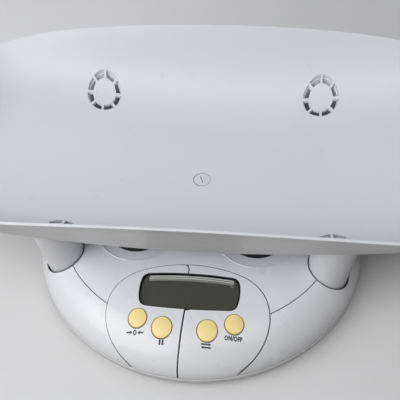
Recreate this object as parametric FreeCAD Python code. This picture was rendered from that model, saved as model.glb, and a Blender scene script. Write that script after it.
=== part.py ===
import FreeCAD, Part
import math
import os
from FreeCAD import Vector as V

# Digital baby weighing scale: a boat-shaped tray on four hollow legs, standing in a domed base
# that holds the display, four buttons, four load cells and the battery.
# Millimetres, +Z up. The origin is the middle of the footprint on the floor, the display is at -Y.

# ---------------------------------------------------------------- driving dimensions: tray
TRAY_LENGTH = 550.0       # along X, over the rim's inner edge
TRAY_DEPTH = 259.2        # along Y, over the rim's inner edge
TRAY_SQUARENESS = 4.35    # exponent of the superellipse that the rim follows, seen from above
TRAY_WALL = 2.6
RIM_Z = 137.8             # rim at the middle of the long sides
RIM_DROP = 20.7           # how much lower the rim is at the two ends
FLOOR_Z = 59.5            # inside floor in the middle
FLOOR_ARC_R = 960.0       # lengthwise curve of the floor
FLOOR_HALF_FLAT = 56.7    # half width of the part of the floor that is level from side to side
WALL_BEND_R = 66.0        # bend between the floor and the long walls
END_BEND_X = 200.0        # where the floor starts to turn up towards the ends
END_BEND_R = 150.0
END_ANGLE = 24.0          # slope of the ends, degrees
SKIN_MARGIN = 6.0         # how far the tray's skin is drawn past the rim before it is trimmed
SKIN_STEPS = 40           # spans of the skin along X and along Y
RIM_STEPS = 96            # points round the rim
RIM_ROUND = 0.9           # rounding of the rim's two edges
MARK_R = 8.4              # moulding insert ring in the tray's floor
MARK_WIDTH = 0.7
MARK_DEPTH = 0.3
MARK_Y = -11.0            # from the tray's middle

# ---------------------------------------------------------------- driving dimensions: legs
LEG_X = 114.0             # from the tray's middle
LEG_Y = 93.4
LEG_R = 16.0              # outside radius at the foot
LEG_TAPER = 0.05          # growth of the radius per millimetre of height
LEG_WALL = 2.0
SLOT_OUTER_R = 17.8       # ring of slots through the tray over each leg
SLOT_INNER_R = 12.2
SLOT_COUNT = 8
SPOKE_WIDTH = 2.2

# ---------------------------------------------------------------- driving dimensions: base
LEG_FRONT_MARGIN = 92.8   # from the front legs' axes to the front edge
LEG_REAR_MARGIN = 43.8    # from the rear legs' axes to the rear edge
LEG_SIDE_MARGIN = 36.0    # from the legs' axes to the widest place
FRONT_R = 155.9           # front of the outline
FRONT_ANGLE = 45.0        # reach of the front arc to each side of the middle, degrees
CORNER_R = 62.0           # rear corners
REAR_R = 320.0            # rear edge
BASE_TOP_Z = 51.0
PARTING_Z = 18.6          # where the cover meets the lower housing
ROLL_WIDTH = 46.0         # width over which the top rolls down to the edge
COVER_WALL = 2.8
PANEL_WALL = 2.3
PANEL_GAP = 0.6           # visible seam between two covers
LEDGE_WALL = 2.2          # ledges that carry the panels
LEDGE_WIDTH = 7.0
SEAT_GAP = 0.1            # between a panel and the ledge that it lies on
SEAM_INSET = 27.2         # platform seam, inside the base's outline
HOUSING_Z = 6.0           # underside of the lower housing
HOUSING_PROUD = 0.8       # the lower housing stands out past the cover
HOUSING_WALL = 2.5
HOUSING_EDGE_R = 7.0
HOUSING_LIP_R = 1.2       # rounding of its upper edge, under the parting line
PARTING_GAP = 0.9
TONGUE_WALL = 1.6
TONGUE_HEIGHT = 3.0
TONGUE_GAP = 0.2
SOCKET_R = 18.2           # recess that a leg stands in
SOCKET_WALL = 2.0
SOCKET_FLOOR_Z = 26.0
SOCKET_FLOOR_WALL = 2.4
LEG_SEAT_GAP = 0.05

# ---------------------------------------------------------------- driving dimensions: platform
PAD_X = 52.2              # grip pads, from the tray's middle
PAD_Y = 64.0
DISH_R = 36.8
DISH_DEPTH = 0.7
DISH_BEAD_R = 0.7
DISH_SLOPE = 8.0
DISH_CUP_WALL = 1.0       # plate's underside round a dish
PAD_R = 26.8
PAD_THICK = 2.0
PAD_SUNK = 0.5            # pad's top below the dish
RIB_WALL = 2.0
RIB_DEPTH = 9.0
RIB_PITCH = 38.0

# ---------------------------------------------------------------- driving dimensions: console
CONSOLE_SHIFT = -0.25          # the console's panels sit a little to the left in their opening
CONSOLE_TOP_BACK = 84.5        # from the base's front edge to the console's top
CONSOLE_TOP_R = 110.1
CONSOLE_SHOULDER_R = 38.5
CONSOLE_SIDE_R = 37.8
CONSOLE_TOP_ANGLE = 22.0       # half angle of the top arc, degrees
CONSOLE_SHOULDER_ANGLE = 4.0   # where the shoulder arc hands over to the side arc
CONSOLE_END_ANGLE = -68.0      # where the side arc runs off the front edge
SPLIT_GAP = 1.0                # seam between the two panels
SPLIT_TOP_X = -2.3             # rightmost place of the seam above the window
SPLIT_FOOT_X = -1.9            # and where it leaves the window's foot
SPLIT_SLANT = 3.6              # lean of its lower part, degrees
SPLIT_HOOK_R = 6.8             # the seam bends to the left towards its top
SPLIT_HOOK_RISE = 2.7          # from the window's top edge to the middle of the bend
SPLIT_EDGE_R = 1.0             # rounding of the right panel along the seam
SPLIT_NOTCH = (3.6, 0.8)       # notch at the window's foot, right of the seam
WINDOW_BACK = 59.5             # from the base's front edge to the window's middle
WINDOW_WIDTH = 82.4
WINDOW_HEIGHT = 33.4
WINDOW_TOP_NARROW = 1.9        # how much the window narrows on each side towards its top
WINDOW_FOOT_NARROW = 3.0       # and towards its foot
WINDOW_TOP_BULGE = 2.4
WINDOW_FOOT_BULGE = 1.5
WINDOW_CORNER_R = 7.0
BEZEL_WIDTH = 1.2
BEZEL_SUNK = 0.4
BEZEL_GAP = 0.2
LENS_THICK = 1.2
LENS_SUNK = 0.9
LCD_THICK = 2.1
LCD_GAP = 0.5             # between the lens and the bezel's seat for the LCD
LCD_STRIP_WIDTH = 4.6     # bright contact bar across the upper part of the LCD
LCD_STRIP_LENGTH = 70.0
LCD_STRIP_BACK = 1.5      # from the window's top edge to the bar
LCD_STRIP_THICK = 0.7
LCD_STRIP_RIDGE = 0.8     # ridge along each of its long edges
LCD_STRIP_SHIFT = 0.5     # from the window's middle to the bar's middle
LCD_LOOP_R = 1.5          # contact loop at the bar's right end
LCD_LOOP_WALL = 0.6
SKIRT_WALL = 1.3
SKIRT_PROUD = 0.5         # the bezel's skirt is wider than the window
SKIRT_ROOF = 0.5

# ---------------------------------------------------------------- driving dimensions: buttons
BUTTON_PLACES = {         # name: (x, distance from the base's front edge, radius)
    "zero": (-38.4, 33.8, 7.45),
    "hold": (-18.3, 27.6, 8.05),
    "units": (17.1, 27.4, 8.05),
    "power": (37.6, 33.8, 7.45),
}
BUTTON_PROUD = 1.3
BUTTON_CROWN_R = 34.0
BUTTON_WALL = 1.4
BUTTON_GAP = 0.4
BUTTON_TRAVEL = 0.9
BUTTON_FLANGE = 0.9
BUTTON_FLANGE_THICK = 0.8
STEM_R = 2.0
SLEEVE_WALL = 1.2
SWITCH_SIZE = 6.0
SWITCH_HEIGHT = 3.4
PLUNGER_R = 1.7
PLUNGER_FIT = 0.06
PLUNGER_PROUD = 1.2
PLUNGER_LENGTH = 1.9

# ---------------------------------------------------------------- driving dimensions: inside
BOARD_Z = 38.0            # top of the circuit board
BOARD_THICK = 1.6
BOARD_HALF_WIDTH = 50.0
BOARD_REAR_BACK = 81.7    # from the base's front edge to the board's rear edge
BOARD_FRONT_BACK = 21.7   # and to its front edge
BOARD_CHAMFER = 22.0
POST_R = 3.4
POST_X = 45.5             # the two rear posts; the third stands in the middle at the front
POST_INSET = (4.5, 6.0)   # from the board's rear edge and from its front edge
SCREW_R = 1.5
SCREW_FIT = 0.02
SCREW_HEAD_R = 2.8
SCREW_HEAD = 1.8
SCREW_LENGTH = 8.0
CELL_INSET = 10.0         # load cell's middle, inside the leg's axis, along X and along Y
CELL_SIZE = 30.0
CELL_THICK = 1.6
CELL_Z = 10.6             # underside of the load cell
CELL_SLOT = 1.6
CELL_TONGUE = 11.0
CELL_SEAT_WALL = 2.2
FOOT_R = 13.5
FOOT_HOLE_GAP = 1.2
FOOT_STEM_R = 4.0
FOOT_PAD_THICK = 2.0
FOOT_PAD_R = 12.0
FOOT_CUP_THICK = 4.6
BOSS_R = 3.8
BOSS_SEAT = 1.6           # raised seats on the housing's floor under the cover's screw bosses
BOSS_SIDE_INSET = 17.0    # screw bosses near the widest place
BOSS_SIDE_Y = (-34.5, 37.5)    # from the tray's middle
BOSS_REAR = (60.0, 24.7)  # half distance apart, and from the rear edge
BOSS_FRONT = (78.0, 43.0)  # half distance apart, and from the front edge
BATTERY = (48.5, 17.5, 26.5)   # along X, up, and along Y
BATTERY_BACK = 37.5       # behind the tray's middle
BATTERY_ROOM = 0.8
SNAP_LENGTH = 6.0
SNAP_THICK = 2.4
STUD_LENGTH = 2.4
STUD_R = 2.8
STUD_PITCH = 12.7
BOX_WALL = 1.8
DOOR_THICK = 2.0
DOOR_GAP = 0.4
DOOR_LEDGE = 3.0
NOTCH_R = 10.0            # finger notch in the door's free edge
HINGE_PIN_R = 1.4
HINGE_FIT = 0.06
HINGE_KNUCKLE_R = 2.2
HINGE_KNUCKLE_LENGTH = 5.0
HINGE_EAR_R = 2.6
HINGE_SIDE_GAP = 0.3
HINGE_BAY_GAP = 0.5
LEAD_R = 1.1
LEAD_NOTCH = 0.5
CLIP_GAP = 0.1

# ---------------------------------------------------------------- derived places
SIDES = {"left": -1, "right": 1}
ENDS = {"front": -1, "rear": 1}
BASE_DEPTH = LEG_FRONT_MARGIN + 2 * LEG_Y + LEG_REAR_MARGIN
TRAY_Y = (LEG_FRONT_MARGIN - LEG_REAR_MARGIN) / 2
HALF_WIDTH = LEG_X + LEG_SIDE_MARGIN
FRONT_Y = -BASE_DEPTH / 2
FRONT_CY = FRONT_Y + FRONT_R
FRONT_SINE = math.sin(math.radians(FRONT_ANGLE))
FLANK_R = (HALF_WIDTH - FRONT_R * FRONT_SINE) / (1 - FRONT_SINE)
FLANK_X = (FRONT_R - FLANK_R) * FRONT_SINE
FLANK_Y = FRONT_CY - (FRONT_R - FLANK_R) * math.cos(math.radians(FRONT_ANGLE))
REAR_CY = BASE_DEPTH / 2 - REAR_R
CORNER_X = HALF_WIDTH - CORNER_R
CORNER_Y = REAR_CY + math.sqrt((REAR_R - CORNER_R) ** 2 - CORNER_X ** 2)
CORNER_ANGLE = math.atan2(CORNER_Y - REAR_CY, CORNER_X)
CONSOLE_TOP_Y = FRONT_Y + CONSOLE_TOP_BACK
WINDOW_Y = FRONT_Y + WINDOW_BACK
BUTTONS = {name: (x, FRONT_Y + back, r) for name, (x, back, r) in BUTTON_PLACES.items()}
BOARD_REAR_Y = FRONT_Y + BOARD_REAR_BACK
BOARD_FRONT_Y = FRONT_Y + BOARD_FRONT_BACK
POSTS = [(-POST_X, BOARD_REAR_Y - POST_INSET[0]), (POST_X, BOARD_REAR_Y - POST_INSET[0]),
         (0.0, BOARD_FRONT_Y + POST_INSET[1])]
BATTERY_Y = TRAY_Y + BATTERY_BACK
BOSS_RIGHT = [(HALF_WIDTH - BOSS_SIDE_INSET, TRAY_Y + y) for y in BOSS_SIDE_Y]
BOSS_RIGHT += [(BOSS_REAR[0], BASE_DEPTH / 2 - BOSS_REAR[1]), (BOSS_FRONT[0], FRONT_Y + BOSS_FRONT[1])]
BOSS_SPOTS = BOSS_RIGHT + [(-x, y) for x, y in BOSS_RIGHT]
LEG_FOOT_Z = SOCKET_FLOOR_Z + LEG_SEAT_GAP
CELL_X = LEG_X - CELL_INSET
CELL_Y = LEG_Y - CELL_INSET
HOUSING_FLOOR_Z = HOUSING_Z + HOUSING_WALL
LENS_TOP_Z = BASE_TOP_Z - LENS_SUNK
SKIRT_ROOM_Z = LENS_TOP_Z - LENS_THICK - LCD_GAP
LCD_TOP_Z = SKIRT_ROOM_Z - LCD_STRIP_THICK
LEAD_Z = CELL_Z + CELL_THICK / 2
BOSS_FOOT_Z = HOUSING_Z + HOUSING_WALL + BOSS_SEAT
SCREW_SEAT_Z = HOUSING_Z + SCREW_HEAD + 0.4
SWITCH_TOP_Z = BOARD_Z + SWITCH_HEIGHT
PLUNGER_TOP_Z = SWITCH_TOP_Z + PLUNGER_PROUD
BUTTON_FOOT_Z = SWITCH_TOP_Z + 0.4
SLEEVE_FOOT_Z = BUTTON_FOOT_Z + BUTTON_FLANGE_THICK + 0.2
BOX_LENGTH = BATTERY[0] + SNAP_LENGTH + 2 * BATTERY_ROOM
BOX_DEPTH = BATTERY[2] + 2 * BATTERY_ROOM
BOX_TOP_Z = HOUSING_FLOOR_Z + BATTERY[1] + 2 * BATTERY_ROOM
HINGE_Y = BATTERY_Y - BOX_DEPTH / 2 - HINGE_EAR_R - HINGE_BAY_GAP
HINGE_Z = HOUSING_Z + HINGE_KNUCKLE_R + 0.2
TALL = 400.0              # long enough to cut right through


# ---------------------------------------------------------------- small helpers
def polar(cx, cy, radius, degrees, z=0.0):
    a = math.radians(degrees)
    return V(cx + radius * math.cos(a), cy + radius * math.sin(a), z)


def arc(cx, cy, radius, start, end, z=0.0):
    """Arc in a level plane, from one angle to another, in degrees."""
    middle = (start + end) / 2
    points = [polar(cx, cy, radius, a, z) for a in (start, middle, end)]
    return Part.Arc(*points).toShape()


def line(a, b):
    return Part.LineSegment(a, b).toShape()


def prism(wire, low, high):
    """Upright solid from a level closed wire drawn at z = 0."""
    face = Part.Face(wire)
    face.translate(V(0, 0, low))
    return face.extrude(V(0, 0, high - low))


def block(cx, cy, size_x, size_y, low, high):
    return Part.makeBox(size_x, size_y, high - low, V(cx - size_x / 2, cy - size_y / 2, low))


def post(cx, cy, radius, low, high):
    return Part.makeCylinder(radius, high - low, V(cx, cy, low))


def ring(cx, cy, outer, inner, low, high):
    return post(cx, cy, outer, low, high).cut(post(cx, cy, inner, low - 1, high + 1))


def fused(shapes):
    shapes = list(shapes)
    if len(shapes) == 1:
        return shapes[0]
    return shapes[0].multiFuse(shapes[1:]).removeSplitter()


def mirrored_x(shape):
    return shape.mirror(V(0, 0, 0), V(1, 0, 0))


def save(shape, name):
    solids = shape.Solids
    if not solids:
        raise ValueError(name + " has no solid")
    if not shape.isValid():
        print("invalid:", name)
    result = solids[0] if len(solids) == 1 else Part.makeCompound(solids)
    result.exportStep("parts/" + name + ".step")
    print("%-28s solids %d  volume %.1f" % (name, len(solids), sum(s.Volume for s in solids)))


def corners(x, y):
    """The four copies of a point, mirrored in X and about the tray's middle in Y."""
    for end, down in ENDS.items():
        for side, across in SIDES.items():
            yield end + "_" + side, across * x, TRAY_Y + down * y


# ---------------------------------------------------------------- the tray's skin
def floor_height(x):
    """Height of the inside floor on the middle line."""
    x = abs(x)
    if x <= END_BEND_X:
        return FLOOR_Z + FLOOR_ARC_R - math.sqrt(FLOOR_ARC_R ** 2 - x ** 2)
    start = math.asin(END_BEND_X / FLOOR_ARC_R)
    end = math.radians(END_ANGLE)
    low = FLOOR_Z + FLOOR_ARC_R * (1 - math.cos(start))
    bend = END_BEND_R * (math.sin(end) - math.sin(start))
    if x < END_BEND_X + bend:
        turned = math.asin(math.sin(start) + (x - END_BEND_X) / END_BEND_R)
        return low + END_BEND_R * (math.cos(start) - math.cos(turned))
    low += END_BEND_R * (math.cos(start) - math.cos(end))
    return low + (x - END_BEND_X - bend) * math.tan(end)


def wall_height(across, rise, width):
    """Height above the floor at a distance across from the flat part: a bend, then a straight wall."""
    if across <= 0:
        return 0.0
    reach = math.hypot(width, rise - WALL_BEND_R)
    slope = math.pi / 2 + math.atan2(rise - WALL_BEND_R, width) - math.acos(WALL_BEND_R / reach)
    bend = WALL_BEND_R * math.sin(slope)
    if across <= bend:
        return WALL_BEND_R - math.sqrt(WALL_BEND_R ** 2 - across ** 2)
    return WALL_BEND_R * (1 - math.cos(slope)) + (across - bend) * math.tan(slope)


def tray_height(x, y):
    """Height of the tray's inside at a point given from the tray's middle."""
    along = abs(x) / (TRAY_LENGTH / 2)
    wall_y = TRAY_DEPTH / 2 * (1 - along ** TRAY_SQUARENESS / TRAY_SQUARENESS)
    low = floor_height(x)
    rise = RIM_Z - RIM_DROP * along ** 2 - low
    return low + wall_height(abs(y) - FLOOR_HALF_FLAT, rise, wall_y - FLOOR_HALF_FLAT)


def skin_point(x, y, depth):
    """Point of the skin, that far below the inside surface along its normal."""
    step = 0.05
    slope_x = (tray_height(x + step, y) - tray_height(x - step, y)) / (2 * step)
    slope_y = (tray_height(x, y + step) - tray_height(x, y - step)) / (2 * step)
    normal = V(-slope_x, -slope_y, 1).normalize()
    return V(x, y + TRAY_Y, tray_height(x, y)) - normal * depth


def skin_face(depth):
    half_x = TRAY_LENGTH / 2 + SKIN_MARGIN
    half_y = TRAY_DEPTH / 2 + SKIN_MARGIN
    steps = [2 * k / SKIN_STEPS - 1 for k in range(SKIN_STEPS + 1)]
    rows = [[skin_point(half_x * u, half_y * v, depth) for v in steps] for u in steps]
    surface = Part.BSplineSurface()
    surface.interpolate(rows)
    return surface.toShape()


def rim_quarter(depth):
    """A quarter of the curve under or over the rim, that far below the inside surface."""
    points = []
    for k in range(RIM_STEPS // 4 + 1):
        c = math.cos(2 * math.pi * k / RIM_STEPS)
        s = math.sin(2 * math.pi * k / RIM_STEPS)
        reach = (abs(c) ** TRAY_SQUARENESS + abs(s) ** TRAY_SQUARENESS) ** (-1 / TRAY_SQUARENESS)
        points.append(skin_point(TRAY_LENGTH / 2 * c * reach, TRAY_DEPTH / 2 * s * reach, depth))
    curve = Part.BSplineCurve()
    curve.interpolate(points, InitialTangent=V(0, 1, 0), FinalTangent=V(-1, 0, 0))
    return curve.toShape()


def rim_trim():
    """Band that crosses the skin square to it, all round under the rim."""
    reach = SKIN_MARGIN / 2
    right = Part.makeRuledSurface(rim_quarter(-reach), rim_quarter(TRAY_WALL + reach))
    left = right.mirror(V(0, TRAY_Y, 0), V(1, 0, 0))
    rear = [right, left]
    return rear + [face.mirror(V(0, TRAY_Y, 0), V(0, 1, 0)) for face in rear]


def thick_skin():
    """Solid between the inside and the underside, with a rim square to the skin all round."""
    inside = skin_face(0)
    underside = skin_face(TRAY_WALL)
    sides = [Part.makeRuledSurface(a, b) for a, b in zip(inside.Edges, underside.Edges)]
    shell = Part.makeShell([inside, underside] + sides)
    shell.sewShape()
    slab = Part.makeSolid(shell)
    pieces, _ = slab.generalFuse(rim_trim())
    middle = V(0, TRAY_Y, FLOOR_Z - TRAY_WALL / 2)
    skin = [s for s in pieces.Solids if s.isInside(middle, 0.01, True)][0]
    edges = [e for e in skin.Edges if e.Length > TRAY_DEPTH / 2]
    return skin.makeFillet(RIM_ROUND, edges)


def slot_cutter(cx, cy):
    cutter = ring(cx, cy, SLOT_OUTER_R, SLOT_INNER_R, 0, TALL)
    for k in range(SLOT_COUNT // 2):
        bar = block(0, 0, 3 * SLOT_OUTER_R, SPOKE_WIDTH, -1, TALL + 1)
        bar.rotate(V(0, 0, 0), V(0, 0, 1), 360 * k / SLOT_COUNT)
        bar.translate(V(cx, cy, 0))
        cutter = cutter.cut(bar)
    return cutter


def tray_shell(skin):
    tray = skin
    for _, cx, cy in corners(LEG_X, LEG_Y):
        tray = tray.cut(slot_cutter(cx, cy))
    mark = ring(0, TRAY_Y + MARK_Y, MARK_R, MARK_R - MARK_WIDTH, FLOOR_Z - MARK_DEPTH, TALL)
    return tray.cut(mark)


def leg(cx, cy, above):
    """Hollow cone under the tray, closed at its foot and cut to the tray's underside."""
    top_z = RIM_Z
    grow = (top_z - LEG_FOOT_Z) * LEG_TAPER
    outer = Part.makeCone(LEG_R, LEG_R + grow, top_z - LEG_FOOT_Z, V(cx, cy, LEG_FOOT_Z))
    inner = Part.makeCone(LEG_R - LEG_WALL, LEG_R - LEG_WALL + grow, top_z - LEG_FOOT_Z,
                          V(cx, cy, LEG_FOOT_Z + LEG_WALL))
    return outer.cut(inner).cut(above)


# ---------------------------------------------------------------- the base's domed shape
def outline(inset):
    """The base's outline seen from above, moved in by inset."""
    flank = FLANK_R - inset
    corner = CORNER_R - inset
    side = HALF_WIDTH - inset
    turn = math.degrees(CORNER_ANGLE)
    edges = [
        arc(0, FRONT_CY, FRONT_R - inset, -90 - FRONT_ANGLE, -90 + FRONT_ANGLE),
        arc(FLANK_X, FLANK_Y, flank, -90 + FRONT_ANGLE, 0),
        line(V(side, FLANK_Y, 0), V(side, CORNER_Y, 0)),
        arc(CORNER_X, CORNER_Y, corner, 0, turn),
        arc(0, REAR_CY, REAR_R - inset, turn, 180 - turn),
        arc(-CORNER_X, CORNER_Y, corner, 180 - turn, 180),
        line(V(-side, CORNER_Y, 0), V(-side, FLANK_Y, 0)),
        arc(-FLANK_X, FLANK_Y, flank, -180, -90 - FRONT_ANGLE),
    ]
    return Part.Wire(edges)


def roll_profile(radius, inset, low):
    """Section of the edge at a radius: an upright wall, then a quarter ellipse up to the top."""
    inner = radius - ROLL_WIDTH
    width = ROLL_WIDTH - inset
    height = BASE_TOP_Z - PARTING_Z - inset
    centre = V(inner, 0, PARTING_Z)
    ellipse = Part.Ellipse(V(inner + width, 0, PARTING_Z), V(inner, 0, PARTING_Z + height), centre)
    roll = Part.ArcOfEllipse(ellipse, 0, math.pi / 2).toShape()
    foot = V(inner + width, 0, low)
    top = V(inner, 0, PARTING_Z + height)
    edges = [line(top, V(inner, 0, low)), line(V(inner, 0, low), foot)]
    if low < PARTING_Z:
        edges.append(line(foot, V(inner + width, 0, PARTING_Z)))
    return Part.Face(Part.Wire(edges + [roll]))


def swung(profile, cx, cy, start, sweep):
    """A profile drawn in the XZ plane, turned about an upright axis."""
    piece = profile.copy()
    piece.rotate(V(0, 0, 0), V(0, 0, 1), start)
    piece.translate(V(cx, cy, 0))
    return piece.revolve(V(cx, cy, 0), V(0, 0, 1), sweep)


def domed(inset, low=PARTING_Z):
    """Solid under the base's top surface, moved in by inset, with its foot at low."""
    turn = math.degrees(CORNER_ANGLE)
    front = roll_profile(FRONT_R, inset, low)
    flank = roll_profile(FLANK_R, inset, low)
    corner = roll_profile(CORNER_R, inset, low)
    rear = roll_profile(REAR_R, inset, low)
    side = roll_profile(HALF_WIDTH, inset, low)
    side.translate(V(0, FLANK_Y, 0))
    side = side.extrude(V(0, CORNER_Y - FLANK_Y, 0))
    return fused([
        prism(outline(ROLL_WIDTH), low, BASE_TOP_Z - inset),
        swung(front, 0, FRONT_CY, -90 - FRONT_ANGLE, 2 * FRONT_ANGLE),
        swung(flank, FLANK_X, FLANK_Y, -90 + FRONT_ANGLE, 90 - FRONT_ANGLE),
        swung(flank, -FLANK_X, FLANK_Y, -180, 90 - FRONT_ANGLE),
        swung(corner, CORNER_X, CORNER_Y, 0, turn),
        swung(corner, -CORNER_X, CORNER_Y, 180 - turn, turn),
        swung(rear, 0, REAR_CY, turn, 180 - 2 * turn),
        side,
        mirrored_x(side),
    ])


def layer(upper, lower):
    """Domed sheet between two depths below the base's top surface."""
    return domed(upper).cut(domed(lower, PARTING_Z - 1))


def top_height(x, y):
    """Height of the base's top surface at a place within its front arc."""
    reach = math.hypot(x, y - FRONT_CY) - (FRONT_R - ROLL_WIDTH)
    if reach <= 0:
        return BASE_TOP_Z
    return PARTING_Z + (BASE_TOP_Z - PARTING_Z) * math.sqrt(1 - (reach / ROLL_WIDTH) ** 2)


# ---------------------------------------------------------------- console outline
def console_centres():
    """Centres of the three arcs of the right half of the console's outline."""
    top = V(0, CONSOLE_TOP_Y - CONSOLE_TOP_R, 0)
    a = math.radians(CONSOLE_TOP_ANGLE)
    shoulder = top + V(math.sin(a), math.cos(a), 0) * (CONSOLE_TOP_R - CONSOLE_SHOULDER_R)
    a = math.radians(CONSOLE_SHOULDER_ANGLE)
    side = shoulder + V(math.cos(a), math.sin(a), 0) * (CONSOLE_SHOULDER_R - CONSOLE_SIDE_R)
    return top, shoulder, side


def console_wire(grow):
    """The console's outline, moved out by grow; it is open-ended past the base's front edge."""
    top, shoulder, side = console_centres()
    half = CONSOLE_TOP_ANGLE
    r_top = CONSOLE_TOP_R + grow
    r_shoulder = CONSOLE_SHOULDER_R + grow
    r_side = CONSOLE_SIDE_R + grow
    front_y = 2 * FRONT_Y
    last = polar(side.x, side.y, r_side, CONSOLE_END_ANGLE)
    right = [
        arc(shoulder.x, shoulder.y, r_shoulder, 90 - half, CONSOLE_SHOULDER_ANGLE),
        arc(side.x, side.y, r_side, CONSOLE_SHOULDER_ANGLE, CONSOLE_END_ANGLE),
        line(last, V(last.x, front_y, 0)),
    ]
    left = [edge.mirror(V(0, 0, 0), V(1, 0, 0)) for edge in right]
    front = line(V(last.x, front_y, 0), V(-last.x, front_y, 0))
    edges = [arc(top.x, top.y, r_top, 90 + half, 90 - half)] + right + [front] + left
    return Part.Wire(Part.__sortEdges__(edges))


def console_region(grow):
    return prism(console_wire(grow), 0, TALL)


def window_wire(grow):
    """Barrel-shaped window outline: four shallow arcs that meet at the corners."""
    half_w = WINDOW_WIDTH / 2 + grow
    half_h = WINDOW_HEIGHT / 2 + grow
    top_x = half_w - WINDOW_TOP_NARROW
    foot_x = half_w - WINDOW_FOOT_NARROW
    top_y = half_h - WINDOW_TOP_BULGE
    foot_y = WINDOW_FOOT_BULGE - half_h
    tips = [V(top_x, top_y, 0), V(-top_x, top_y, 0), V(-foot_x, foot_y, 0), V(foot_x, foot_y, 0)]
    mids = [V(0, half_h, 0), V(-half_w, 0, 0), V(0, -half_h, 0), V(half_w, 0, 0)]
    edges = [Part.Arc(tips[k], mids[k], tips[(k + 1) % 4]).toShape() for k in range(4)]
    wire = Part.Wire(edges)
    wire.translate(V(0, WINDOW_Y, 0))
    return wire


def window_prism(grow, low, high):
    body = prism(window_wire(grow), low, high)
    upright = [e for e in body.Edges if abs(e.Vertexes[0].Z - e.Vertexes[-1].Z) > (high - low) / 2]
    return body.makeFillet(WINDOW_CORNER_R + grow, upright)


# ---------------------------------------------------------------- base covers
def platform_region(inset):
    return prism(outline(SEAM_INSET + inset), 0, TALL)


def leg_sockets():
    """Cups that the legs stand in, each with a seat below it that bears on a load cell."""
    for name, cx, cy in corners(LEG_X, LEG_Y):
        cup_foot = SOCKET_FLOOR_Z - SOCKET_FLOOR_WALL
        cup = post(cx, cy, SOCKET_R + SOCKET_WALL, cup_foot, BASE_TOP_Z)
        cup = cup.cut(post(cx, cy, SOCKET_R, SOCKET_FLOOR_Z, BASE_TOP_Z + 1))
        yield name, cx, cy, cup


def cell_seats():
    """Square tubes that bear on the frame of each load cell."""
    cell_top = CELL_Z + CELL_THICK
    roof_z = SOCKET_FLOOR_Z - SOCKET_FLOOR_WALL / 2
    outer = CELL_SIZE + 2 * CELL_SEAT_WALL
    inner = CELL_SIZE - 2 * CELL_SEAT_WALL
    seats = []
    for _, cx, cy in corners(CELL_X, CELL_Y):
        seat = block(cx, cy, outer, outer, cell_top - CELL_THICK / 2, roof_z)
        seat = seat.cut(block(cx, cy, inner, inner, 0, roof_z - CELL_SEAT_WALL))
        grip = CELL_SIZE + 2 * CLIP_GAP
        seat = seat.cut(block(cx, cy, grip, grip, 0, cell_top))
        inward = math.copysign(outer / 2, -cx)
        notch_top = LEAD_Z + LEAD_R + LEAD_NOTCH
        seats.append(seat.cut(block(cx + inward, cy, CELL_SIZE / 2, 2 * (LEAD_R + LEAD_NOTCH), 0, notch_top)))
    return seats


def base_cover():
    """Outer ring of the top, with the ledges, leg sockets, cell seats and screw bosses in one piece."""
    half = PANEL_GAP / 2
    ring_part = layer(0, COVER_WALL)
    ring_part = ring_part.cut(platform_region(-half)).cut(console_region(half))
    ledge_top = PANEL_WALL + SEAT_GAP
    ledge = layer(ledge_top, ledge_top + LEDGE_WALL)
    rim_band = platform_region(-LEDGE_WIDTH / 2).cut(platform_region(LEDGE_WIDTH))
    platform_ledge = ledge.common(rim_band).cut(console_region(half))
    for _, cx, cy in corners(PAD_X, PAD_Y):
        platform_ledge = platform_ledge.cut(post(cx, cy, DISH_R + DISH_CUP_WALL + CLIP_GAP, 0, TALL))
    opening = console_region(-LEDGE_WIDTH - 2).cut(
        block(0, FRONT_Y, BASE_DEPTH, 2 * (BOARD_FRONT_BACK - 6), 0, TALL))
    console_ledge = ledge.common(console_region(LEDGE_WIDTH / 2)).cut(opening)
    cover = fused([ring_part, platform_ledge, console_ledge])
    under_ring = domed(COVER_WALL / 2)
    under_plate = domed(ledge_top)
    plate_side = platform_region(-half)
    cups = []
    for _, cx, cy, cup in leg_sockets():
        cups.append(cup.common(under_ring).cut(plate_side))
        cups.append(cup.common(under_plate))
    bosses = [post(x, y, BOSS_R, BOSS_FOOT_Z, BASE_TOP_Z) for x, y in BOSS_SPOTS]
    bosses = [b.common(domed(COVER_WALL / 2, HOUSING_Z)) for b in bosses]
    cover = fused([cover] + cups + cell_seats() + bosses)
    for _, cx, cy in corners(LEG_X, LEG_Y):
        cover = cover.cut(post(cx, cy, SOCKET_R, SOCKET_FLOOR_Z, TALL))
    for x, y in BOSS_SPOTS:
        cover = cover.cut(post(x, y, SCREW_R, 0, BOSS_FOOT_Z + SCREW_LENGTH))
    for x, y, r in BUTTONS.values():
        cover = cover.cut(post(x, y, r + BUTTON_GAP + SLEEVE_WALL + CLIP_GAP, 0, TALL))
    return cover.cut(skirt_block(-SKIRT_PROUD, 0, TALL))


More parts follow.
